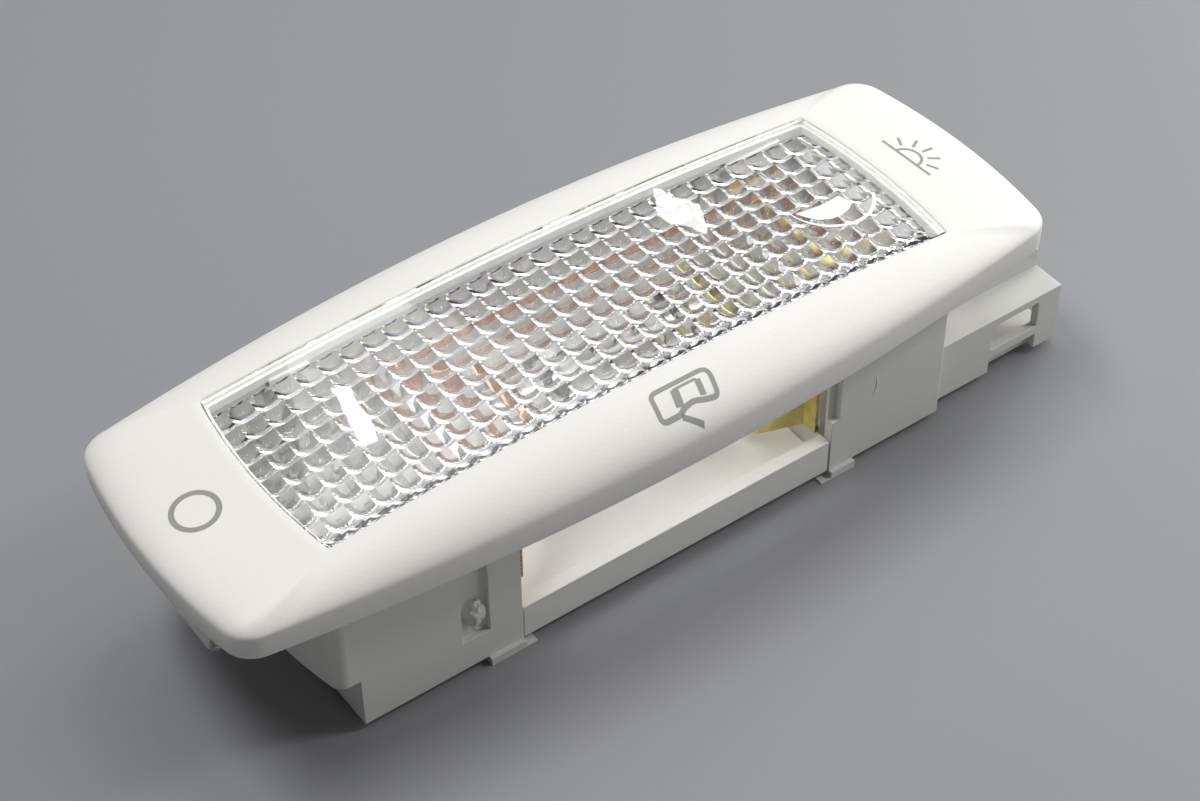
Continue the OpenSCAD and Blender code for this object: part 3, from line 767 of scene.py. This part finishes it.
class Lens:
    """The prismatic lens, arched with the cover, with straight lines of prisms that the bowed ends cut.

    It starts as a flat grid, the field of prisms, with two rings round it that stand a millimetre apart. HALF
    tells one ring from the next. Each line is then moved to its true place.
    """

    HALF = 0.5
    NEAR = 1e-3

    def __init__(self, shop: Workshop, cover: CoverForm, form: LensForm) -> None:
        """Keep the workshop and the sizes."""
        self.shop = shop
        self.cover = cover
        self.form = form
        self.low = Vector((form.first_x, form.first_y))
        self.high = self.low + Vector((form.cols * form.pitch_x, form.rows * form.pitch_y))

    def build(self) -> None:
        """Make the lens in place of its CAD node."""
        form = self.form
        size, middle = self.high - self.low, (self.low + self.high) / 2
        bm = bmesh.new()
        across, along = form.cols * form.steps, form.rows * form.steps
        bmesh.ops.create_grid(bm, x_segments=across, y_segments=along, size=0.5)
        bmesh.ops.scale(bm, vec=(size.x, size.y, 1), verts=bm.verts)
        bmesh.ops.translate(bm, vec=(middle.x, middle.y, 0), verts=bm.verts)
        for ring in (1, 2):
            self.widen(bm, ring)
        bmesh.ops.recalc_face_normals(bm, faces=bm.faces)
        if next(iter(bm.faces)).normal.z < 0:
            bmesh.ops.reverse_faces(bm, faces=bm.faces)
        bmesh.ops.solidify(bm, geom=bm.faces, thickness=form.thickness)
        split = sum(v.co.z for v in bm.verts) / len(bm.verts)
        for vert in bm.verts:
            under = vert.co.z < split
            prism = all(self.low[k] - self.HALF < vert.co[k] < self.high[k] + self.HALF for k in (0, 1))
            vert.co.y = self.place_y(vert.co.y)
            vert.co.x = self.place_x(vert.co.x, vert.co.y)
            drop = form.thickness if under else 0.0
            if under and prism:
                drop += self.pillow(vert.co.x, vert.co.y)
            elif under and abs(vert.co.y - self.low.y + form.wall) < self.NEAR:
                drop += form.front_slope
            vert.co.z = self.cover.arch(vert.co.x) - drop
        bmesh.ops.recalc_face_normals(bm, faces=bm.faces)
        self.shop.piece("lens_clear", bm, Body.ROCKER, Slot.LENS, LENS_PLASTIC, ["lens"], sharp_deg=40)

    def widen(self, bm: BMesh, ring: int) -> None:
        """Add a ring round the field of prisms, a millimetre further out than the last."""
        rim = [e for e in bm.edges if e.is_boundary]
        made = bmesh.ops.extrude_edge_only(bm, edges=rim)["geom"]
        for vert in (g for g in made if isinstance(g, BMVert)):
            for k in (0, 1):
                if vert.co[k] < self.low[k] - (ring - 1) + self.NEAR:
                    vert.co[k] = self.low[k] - ring
                elif vert.co[k] > self.high[k] + (ring - 1) - self.NEAR:
                    vert.co[k] = self.high[k] + ring

    def place_y(self, y: float) -> float:
        """Return the true y of a line of the grid: the two rings lie at the field's wall and at the rim."""
        form = self.form
        if y < self.low.y - self.HALF:
            return self.low.y - form.wall if y > self.low.y - 1 - self.HALF else -form.width / 2
        if y > self.high.y + self.HALF:
            return self.high.y + form.wall if y < self.high.y + 1 + self.HALF else form.width / 2
        return y

    def place_x(self, x: float, y: float) -> float:
        """Return the true x of a line of the grid at y: the first and last columns end at the bowed ends."""
        form = self.form
        rim = form.reach(y)
        left, right = form.left_border - rim, rim - form.right_border
        if x < self.low.x - self.HALF:
            return left - form.wall if x > self.low.x - 1 - self.HALF else -rim
        if x > self.high.x + self.HALF:
            return right + form.wall if x < self.high.x + 1 + self.HALF else rim
        first, last = self.low.x + form.pitch_x, self.high.x - form.pitch_x
        if x < first:
            return first + (x - first) / form.pitch_x * (first - left)
        if x > last:
            return last + (x - last) / form.pitch_x * (right - last)
        return x

    def pillow(self, x: float, y: float) -> float:
        """Return how far the prisms stand down at a place in plan."""
        form = self.form
        u = 2 * ((x - form.first_x) / form.pitch_x % 1) - 1
        v = 2 * ((y - form.first_y) / form.pitch_y % 1) - 1
        return form.pillow_x * (1 - u * u) + form.pillow_y * (1 - v * v)


# The signs and the painted lamp reflection


def dense(path: Path, step: float, closed: bool = False) -> list[Vector]:
    """Return a path's points with more between them, so that none are further apart than step."""
    corners = [Vector(p) for p in path]
    ends = corners[1:] + corners[:1] if closed else corners[1:]
    points = []
    for a, b in zip(corners, ends):
        n = max(1, math.ceil((b - a).length / step))
        points += [a.lerp(b, i / n) for i in range(n)]
    return points if closed else points + [corners[-1]]


def arc(centre: Pair, radius: float, start: float, end: float, steps: int) -> list[Pair]:
    """Return points on an arc, its angles in degrees."""
    turns = [math.radians(start + (end - start) * i / steps) for i in range(steps + 1)]
    return [(centre[0] + radius * math.cos(t), centre[1] + radius * math.sin(t)) for t in turns]


def rounded(corners: Sequence[Triple], steps: int = 6) -> list[Pair]:
    """Return a closed outline through corners given as (x, y, radius), each one rounded."""
    points = []
    count = len(corners)
    for i, (x, y, r) in enumerate(corners):
        here = Vector((x, y))
        back = (Vector(corners[i - 1][:2]) - here).normalized()
        on = (Vector(corners[(i + 1) % count][:2]) - here).normalized()
        for k in range(steps + 1):
            f = k / steps
            p = (here + back * r) * (1 - f) ** 2 + here * (2 * f * (1 - f)) + (here + on * r) * f * f
            points.append((p.x, p.y))
    return points


class Signs:
    """Pad-printed signs that lie on the cover, and a painted lamp reflection that lies on the lens, at places
    measured in the photograph.
    """

    PROUD = 0.025
    INK = 0.06
    STEP = 0.35
    # The last width is the rim of the crescent, a painted lamp reflection on the lens
    RING_LINE, CAR_LINE, SUN_LINE, MOON_LINE = 0.74, 0.66, 0.42, 0.5

    def __init__(self, shop: Workshop, ground: Callable[[float, float], float]) -> None:
        """Keep the workshop and the height of what the signs lie on."""
        self.shop = shop
        self.ground = ground

    def lay(self, bm: BMesh) -> None:
        """Drop a flat sheet, of ink for a sign and of white paint for the painted lamp reflection, onto its
        ground and give it a thickness.
        """
        bmesh.ops.recalc_face_normals(bm, faces=bm.faces)
        for face in bm.faces:
            if face.normal.z < 0:
                face.normal_flip()
        for vert in bm.verts:
            vert.co.z = self.ground(vert.co.x, vert.co.y) + self.PROUD
        bmesh.ops.solidify(bm, geom=bm.faces, thickness=self.INK)

    def band(self, one: Sequence[Vector], other: Sequence[Vector], rows: int, closed: bool = False) -> BMesh:
        """Fill the strip between two lines that have as many points."""
        loft = RingLoft([p.to_3d() for p in one], closed)
        for row in range(1, rows + 1):
            loft.draw([a.lerp(b, row / rows).to_3d() for a, b in zip(one, other)])
        return loft.bm

    def stroke(
        self, path: Path, width: float, closed: bool = False, taper: float = 1.0
    ) -> BMesh:
        """Make a line along a path, of ink for a sign and of white paint for the painted lamp reflection.

        Args:
            path: The line's middle.
            width: Its width.
            closed: True if its end joins its start.
            taper: Share of the width left at an open line's start.

        Returns:
            The sheet of ink or of painted reflection, laid on its ground.
        """
        points = dense(path, self.STEP, closed)
        count = len(points)
        left, right = [], []
        for i, p in enumerate(points):
            before = points[i - 1] if closed or i else p
            after = points[(i + 1) % count] if closed or i < count - 1 else p
            way = (after - before).normalized()
            across = Vector((-way.y, way.x)) * width / 2
            if not closed:
                across *= min(1.0, taper + (1 - taper) * 3 * i / count)
            left.append(p + across)
            right.append(p - across)
        bm = self.band(left, right, 2, closed)
        self.lay(bm)
        return bm

    def join(self, name: str, parts: Iterable[BMesh], finish: PrintedInk, slot: Slot) -> None:
        """Make one piece of several sheets, of ink or of painted reflection."""
        whole = bmesh.new()
        for part in parts:
            mesh = settle(name, part)
            whole.from_mesh(mesh)
            bpy.data.meshes.remove(mesh)
        self.shop.piece(name, whole, Body.ROCKER, slot, finish)

    def off_ring(self) -> None:
        """Print the ring at the left end."""
        ring = arc((-57.7, 0), 2.92, 0, 360, 48)[:-1]
        self.join("sign_ring", [self.stroke(ring, self.RING_LINE, True)], GREY_INK, Slot.COVER)

    def sun(self) -> None:
        """Print the half sun with its rays at the right end."""
        centre = (54.95, 0.3)
        lines = [[(54.75, 5.2), centre, (55.1, -4.5)], arc(centre, 2.12, 88, -88, 20)]
        for turn in (63, 31, 0, -31, -63):
            t = math.radians(turn)
            way = Vector((math.cos(t), math.sin(t)))
            lines.append([tuple(Vector(centre) + way * r) for r in (2.98, 4.8)])
        parts = [self.stroke(line, self.SUN_LINE) for line in lines]
        self.join("sign_sun", parts, GREY_INK, Slot.COVER)

    def car(self) -> None:
        """Print the car with an open door at the middle of the front."""
        body = rounded([
            (-3.75, -18.75, 0.9), (5.2, -18.75, 1.4), (4.3, -22.5, 0.8), (2.4, -22.2, 0.5),
            (0.9, -21.75, 0.6), (-0.7, -22.0, 0.3), (-1.6, -22.5, 0.5), (-4.4, -22.5, 0.8),
        ])
        # The window's two posts, its upper edge and the open door
        lines = (
            ([(-0.5, -19.55), (-1.1, -21.75)], 1.15),
            ([(3.0, -19.6), (2.55, -21.7)], 0.85),
            ([(-0.6, -19.5), (2.9, -19.5)], 0.36),
            ([(-1.6, -22.75), (0.75, -24.25)], self.CAR_LINE),
        )
        parts = [self.stroke(body, self.CAR_LINE, True), *(self.stroke(*line) for line in lines)]
        self.join("sign_car", parts, GREY_INK, Slot.COVER)

    def paint_lamp_reflection(self) -> None:
        """Paint a lamp's reflection near the right end of the lens: a white crescent of fill and rim, a
        painted reflection that stands in for a mirrored lamp.
        """
        # The rim and the fill are white paint for a painted lamp reflection, not ink that the lens has
        rim = self.stroke(arc((39.5, -0.6), 6.7, 186, 335, 40), self.MOON_LINE, taper=0.3)
        upper = dense([(33.5, -1.6), (35.6, -1.9), (38.2, -2.0), (41.0, -1.6)], 0.4)
        curve = [Vector(p) for p in (
            (33.5, -1.7), (34.3, -3.1), (35.3, -4.3), (36.8, -5.05), (38.6, -5.15), (40.2, -4.7), (41.6, -3.8)
        )]
        lower = []
        for i in range(len(upper)):
            place = i / (len(upper) - 1) * (len(curve) - 1)
            k = min(int(place), len(curve) - 2)
            lower.append(curve[k].lerp(curve[k + 1], place - k))
        fill = self.band(upper, lower, 6)
        self.lay(fill)
        self.join("painted_lamp_reflection", [rim, fill], REFLECTION_WHITE, Slot.LENS)


# The bulb


@dataclass
class Bulb:
    """The festoon bulb with its spun caps and coiled filament."""

    shop: Workshop
    middle_x: float = 2.3
    axis_z: float = 17.0
    length: float = 36.0
    glass_r: float = 5.0
    cap_r: float = 3.5
    cap_len: float = 7.4
    cone_len: float = 2.2
    wall: float = 0.5
    lead_r: float = 0.22

    def build(self) -> None:
        """Make the glass, the caps, the leads and the coil."""
        end = self.length / 2 - self.cap_len
        neck = self.cap_r - self.wall
        self.glass(end, neck)
        r, bore, tip = self.cap_r, neck + 0.05, end + self.cap_len
        cone = tip - self.cone_len
        cap = [
            (end, bore), (end, r - 0.06), (end + 0.06, r), (end + 1.2, r), (end + 1.4, r - 0.1),
            (end + 1.6, r), (cone - 0.2, r), (cone + 0.1, r - 0.16), (tip - 0.4, 1.28), (tip - 0.1, 0.75),
            (tip, 0.0), (tip - 1.6, 0.0), (tip - 1.8, 0.8), (cone - 0.6, bore), (end, bore),
        ]
        inmost, outmost = 3.8, end + 1.4
        lead = [(inmost, 0.0), (inmost, self.lead_r), (outmost, self.lead_r), (outmost, 0.0)]
        for side, name in ((1, "right"), (-1, "left")):
            spun = turned([(side * x, y) for x, y in cap], 40)
            self.put(f"bulb_cap_{name}_spun", spun, Slot.BULB_METAL, CAP_METAL, f"bulb_cap_{name}")
            wire = turned([(side * x, y) for x, y in lead], 12)
            self.put(f"bulb_lead_{name}_wire", wire, Slot.BULB_METAL, CAP_METAL, f"bulb_lead_{name}")
        self.put("filament_coil", self.coil(), Slot.FILAMENT, TUNGSTEN, "bulb_filament")

    def glass(self, end: float, neck: float) -> None:
        """Make the clear envelope with its wall."""
        r, w = self.glass_r, self.wall
        half = [
            (0, r), (end - 4.2, r), (end - 2.8, r - 0.25), (end - 1.3, r - 0.9), (end - 0.2, neck),
            (end + 1.9, neck),
        ]
        outside = [(-x, y) for x, y in reversed(half)] + half[1:]
        inside = [
            (x, y - w) if abs(x) < end + 1 else (x - math.copysign(w, x), y - w)
            for x, y in reversed(outside)
        ]
        profile = [(-end - 1.9, 0.0), *outside, (end + 1.9, 0.0)]
        profile += [(end + 1.4, 0.0), *inside, (-end - 1.4, 0.0)]
        self.put("bulb_envelope", turned(profile, 56), Slot.BULB_GLASS, BULB_GLASS, "bulb_glass")

    def coil(self) -> BMesh:
        """Wind the filament's wire into a coil."""
        turns, turn_steps, wire_r, coil_r, length = 22, 12, 0.07, 0.42, 7.6
        bm = bmesh.new()
        ring = bmesh.ops.create_circle(bm, segments=6, radius=wire_r, cap_ends=False)["verts"]
        bmesh.ops.rotate(bm, cent=(0, 0, 0), matrix=Matrix.Rotation(math.pi / 2, 3, "X"), verts=ring)
        bmesh.ops.rotate(bm, cent=(0, 0, 0), matrix=Matrix.Rotation(math.pi, 3, "Z"), verts=ring)
        bmesh.ops.translate(bm, vec=(-length / 2, 0, coil_r), verts=ring)
        steps = turns * turn_steps
        bmesh.ops.spin(
            bm, geom=list(bm.verts) + list(bm.edges), cent=(0, 0, 0), axis=(1, 0, 0),
            dvec=(length / steps, 0, 0), angle=math.tau * turns, steps=steps, use_merge=False,
        )
        bmesh.ops.holes_fill(bm, edges=[e for e in bm.edges if e.is_boundary], sides=8)
        bmesh.ops.recalc_face_normals(bm, faces=bm.faces)
        return bm

    def put(self, name: str, bm: BMesh, slot: Slot, finish: SheetMetal | ClearMoulding, node: str) -> None:
        """Move a form made round the X axis onto the bulb's axis and finish it."""
        bmesh.ops.translate(bm, vec=(self.middle_x, 0, self.axis_z), verts=bm.verts)
        self.shop.piece(name, bm, Body.LAMP, slot, finish, [node], sharp_deg=40)


# Small marks on the housing


@dataclass
class Marks:
    """The melted stake and the thin burrs on the housing's front, at places measured in the photograph."""

    shop: Workshop
    face_y: float = -18.15
    channel_y: float = -17.25
    lump_at: Triple = (-30.3, -17.8, 10.4)
    lump_size: Triple = (1.35, 0.95, 2.1)
    coarse: Pair = (0.3, 2.4)
    fine: Pair = (0.16, 6.5)

    def build(self) -> None:
        """Make every mark as a piece of its own."""
        self.melt()
        self.burr("mark_curl", [(-30.4, 7.5), (-29.9, 6.7), (-29.2, 6.5), (-28.7, 6.8)], 0.6, self.channel_y)
        self.burr("mark_scratch", [(35.1, 15.2), (35.5, 14.2), (35.5, 12.9), (35.0, 11.4)], 0.34, self.face_y)
        self.burr("mark_seam", [(35.8, 16.7), (46.0, 15.8)], 0.12, self.face_y)

    def melt(self) -> None:
        """Spread the melted head of the heat stake into a rough lump."""
        bm = bmesh.new()
        verts = bmesh.ops.create_icosphere(bm, subdivisions=4, radius=1.0)["verts"]
        for vert in verts:
            way = vert.co.normalized()
            rough = 1 + sum(depth * noise.noise(way * rate) for depth, rate in (self.coarse, self.fine))
            vert.co = Vector(a * b for a, b in zip(way, self.lump_size)) * rough
        bmesh.ops.translate(bm, vec=self.lump_at, verts=verts)
        self.shop.piece("stake_melt", bm, Body.LAMP, Slot.HOUSING, HOUSING_PLASTIC, sharp_deg=60)

    def burr(self, name: str, path: Path, width: float, y: float) -> None:
        """Raise a burr along (x, z) points of a wall that faces front at y. It swells to its middle."""
        bm = bmesh.new()
        points = dense(path, 0.2)
        count = len(points)
        for i, (a, b) in enumerate(zip(points, points[1:])):
            swell = 0.3 + 0.7 * math.sin(math.pi * (i + 0.5) / (count - 1))
            turn = Matrix.Rotation(-math.atan2(b.y - a.y, b.x - a.x), 4, "Y")
            middle = (a + b) / 2
            size = Matrix.Diagonal(((b - a).length * 0.75, width * 0.35 * swell, width * 0.5 * swell, 1))
            place = Matrix.Translation((middle.x, y, middle.y))
            bmesh.ops.create_icosphere(bm, subdivisions=2, radius=1.0, matrix=place @ turn @ size)
        self.shop.piece(name, bm, Body.LAMP, Slot.HOUSING, HOUSING_PLASTIC, sharp_deg=60)


# The studio


@dataclass(frozen=True)
class Softbox:
    """An area lamp that looks at the object: its direction, its sizes in metres and its power."""

    name: str
    way: Triple
    reach: float
    width: float
    height: float
    watts: float

    def hang(self) -> None:
        """Add the lamp to the scene."""
        data = bpy.data.lights.new(self.name, "AREA")
        data.shape = "RECTANGLE"
        data.size, data.size_y = self.width, self.height
        data.energy = self.watts
        aim = Vector(self.way).normalized()
        turn = aim.to_track_quat("Z", "Y").to_matrix().to_4x4()
        add_object(self.name, data).matrix_world = Matrix.Translation(aim * self.reach) @ turn


SOFTBOXES = (
    # The two small ones stand where the lens mirrors them as the photograph's two spots
    Softbox("lamp_spot_right", (0.522, 0.584, 0.621), 0.635, 0.022, 0.016, 0.012),
    Softbox("lamp_spot_left", (0.17, 0.617, 0.768), 0.618, 0.01, 0.024, 0.012),
    Softbox("lamp_strip", (-0.29, 0.18, 0.94), 0.65, 0.32, 0.08, 1.9),
    Softbox("lamp_disk", (0.6, -0.35, 0.72), 0.65, 0.11, 0.11, 0.9),
    Softbox("lamp_above", (0.3, 0.3, 0.9), 0.65, 0.5, 0.4, 1.3),
    Softbox("lamp_right", (0.93, 0.12, 0.34), 0.55, 0.3, 0.3, 1.3),
    Softbox("lamp_front_right", (0.80, -0.55, 0.34), 0.45, 0.3, 0.2, 0.4),
)


@dataclass
class Studio:
    """Camera, world and floor, with the lamps."""

    lens_mm: float = 75.70
    spot_m: Triple = (-0.142166, -0.197794, 0.251370)
    azimuth: float = -35.516
    elevation: float = 44.183
    roll: float = -0.563
    room_colour: Triple = (0.97, 0.98, 1.0)
    room_light: float = 0.07
    room_seen: float = 0.9
    floor_m: float = 3.0
    floor_colour: Triple = (0.25, 0.253, 0.265)
    floor_roughness: float = 0.6
    paper_mm: float = 1.2
    paper_depth: float = 0.02

    def build(self) -> None:
        """Make the whole set."""
        self.camera()
        self.world()
        self.floor()
        for softbox in SOFTBOXES:
            softbox.hang()
        bpy.context.scene.view_settings.view_transform = "Standard"

    def camera(self) -> None:
        """Stand the camera where the photograph was taken from."""
        a, e, r = (math.radians(v) for v in (self.azimuth, self.elevation, self.roll))
        back = Vector((math.sin(a) * math.cos(e), -math.cos(a) * math.cos(e), math.sin(e)))
        right = Vector((math.cos(a), math.sin(a), 0))
        up = back.cross(right)
        x_axis = right * math.cos(r) + up * math.sin(r)
        y_axis = up * math.cos(r) - right * math.sin(r)
        data = bpy.data.cameras.new("camera")
        data.lens = self.lens_mm
        data.clip_start = 0.02
        camera = add_object("camera", data)
        turn = Matrix((x_axis, y_axis, back)).transposed().to_4x4()
        camera.matrix_world = Matrix.Translation(self.spot_m) @ turn
        bpy.context.scene.camera = camera

    def world(self) -> None:
        """Light the room evenly: dim on its own, and pale where glossy and clear surfaces see it."""
        world = bpy.data.worlds.new("room")
        bpy.context.scene.world = world
        world.use_nodes = True
        tree = world.node_tree
        path = tree.nodes.new("ShaderNodeLightPath")
        seen = tree.nodes.new("ShaderNodeMath")
        seen.operation = "MAXIMUM"
        for socket, ray in zip(seen.inputs, ("Glossy", "Transmission")):
            tree.links.new(path.outputs[f"Is {ray} Ray"], socket)
        level_at = tree.nodes.new("ShaderNodeMapRange")
        level_at.inputs["To Min"].default_value = self.room_light
        level_at.inputs["To Max"].default_value = self.room_seen
        tree.links.new(seen.outputs[0], level_at.inputs["Value"])
        room = tree.nodes["Background"]
        room.inputs["Color"].default_value = (*self.room_colour, 1)
        tree.links.new(level_at.outputs[0], room.inputs["Strength"])

    def floor(self) -> None:
        """Lay the plain grey floor."""
        bm = bmesh.new()
        bmesh.ops.create_grid(bm, x_segments=1, y_segments=1, size=self.floor_m)
        mesh = settle("floor", bm)
        sheet = NodeSheet("floor_paper")
        paper = sheet.node(
            "ShaderNodeBsdfPrincipled",
            Normal=sheet.bump(sheet.noise(self.paper_mm, 3), self.paper_depth),
            Base_Color=(*self.floor_colour, 1),
            Roughness=self.floor_roughness,
        )
        mesh.materials.append(sheet.finish(paper.outputs[0]))
        floor = add_object("floor", mesh)


# The CAD nodes that are shown with rounded edges, by body: slot, finish and rounding in millimetres
ROUNDED_NODES = {
    Body.LAMP: (
        ("housing", Slot.HOUSING, HOUSING_PLASTIC, 0.12),
        ("floor_tray", Slot.TRAY, TRAY_PLASTIC, 0.2),
        ("spring_clip", Slot.CLIP, CLIP_STEEL, 0.1),
        ("contact_left", Slot.COPPER, COPPER, 0.08),
        ("contact_right", Slot.BRASS, BRASS, 0.08),
        ("supply_strip", Slot.BRASS, BRASS, 0.08),
        ("ground_strip", Slot.BRASS, BRASS, 0.08),
        ("door_strip", Slot.COPPER, COPPER, 0.08),
        ("detent_spring", Slot.SPRING, SPRING_STEEL, 0.08),
    ),
    Body.ROCKER: (
        ("wiper", Slot.BRASS, BRASS, 0.06),
        ("wiper_rivet", Slot.SPRING, SPRING_STEEL, 0.05),
    ),
}


def main() -> None:
    """Build the lamp round its frame and set the stage."""
    logging.basicConfig(level=logging.INFO, format="%(message)s")
    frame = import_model()
    shop = Workshop(Finishes())
    nodes = frame["nodes"]
    form = CoverForm()
    cover = Cover(shop, form)
    cover.build()
    Lens(shop, form, LensForm()).build()
    signs = Signs(shop, cover.height)
    signs.off_ring()
    signs.sun()
    signs.car()
    # The white crescent on the lens is a painted lamp reflection
    Signs(shop, lambda x, y: form.arch(x)).paint_lamp_reflection()
    Bulb(shop).build()
    for body, rows in ROUNDED_NODES.items():
        for name, slot, finish, radius in rows:
            shop.rounded_node(nodes[name], body, slot, finish, radius)
    Marks(shop).build()
    Studio().build()


if __name__ == "__main__":
    main()
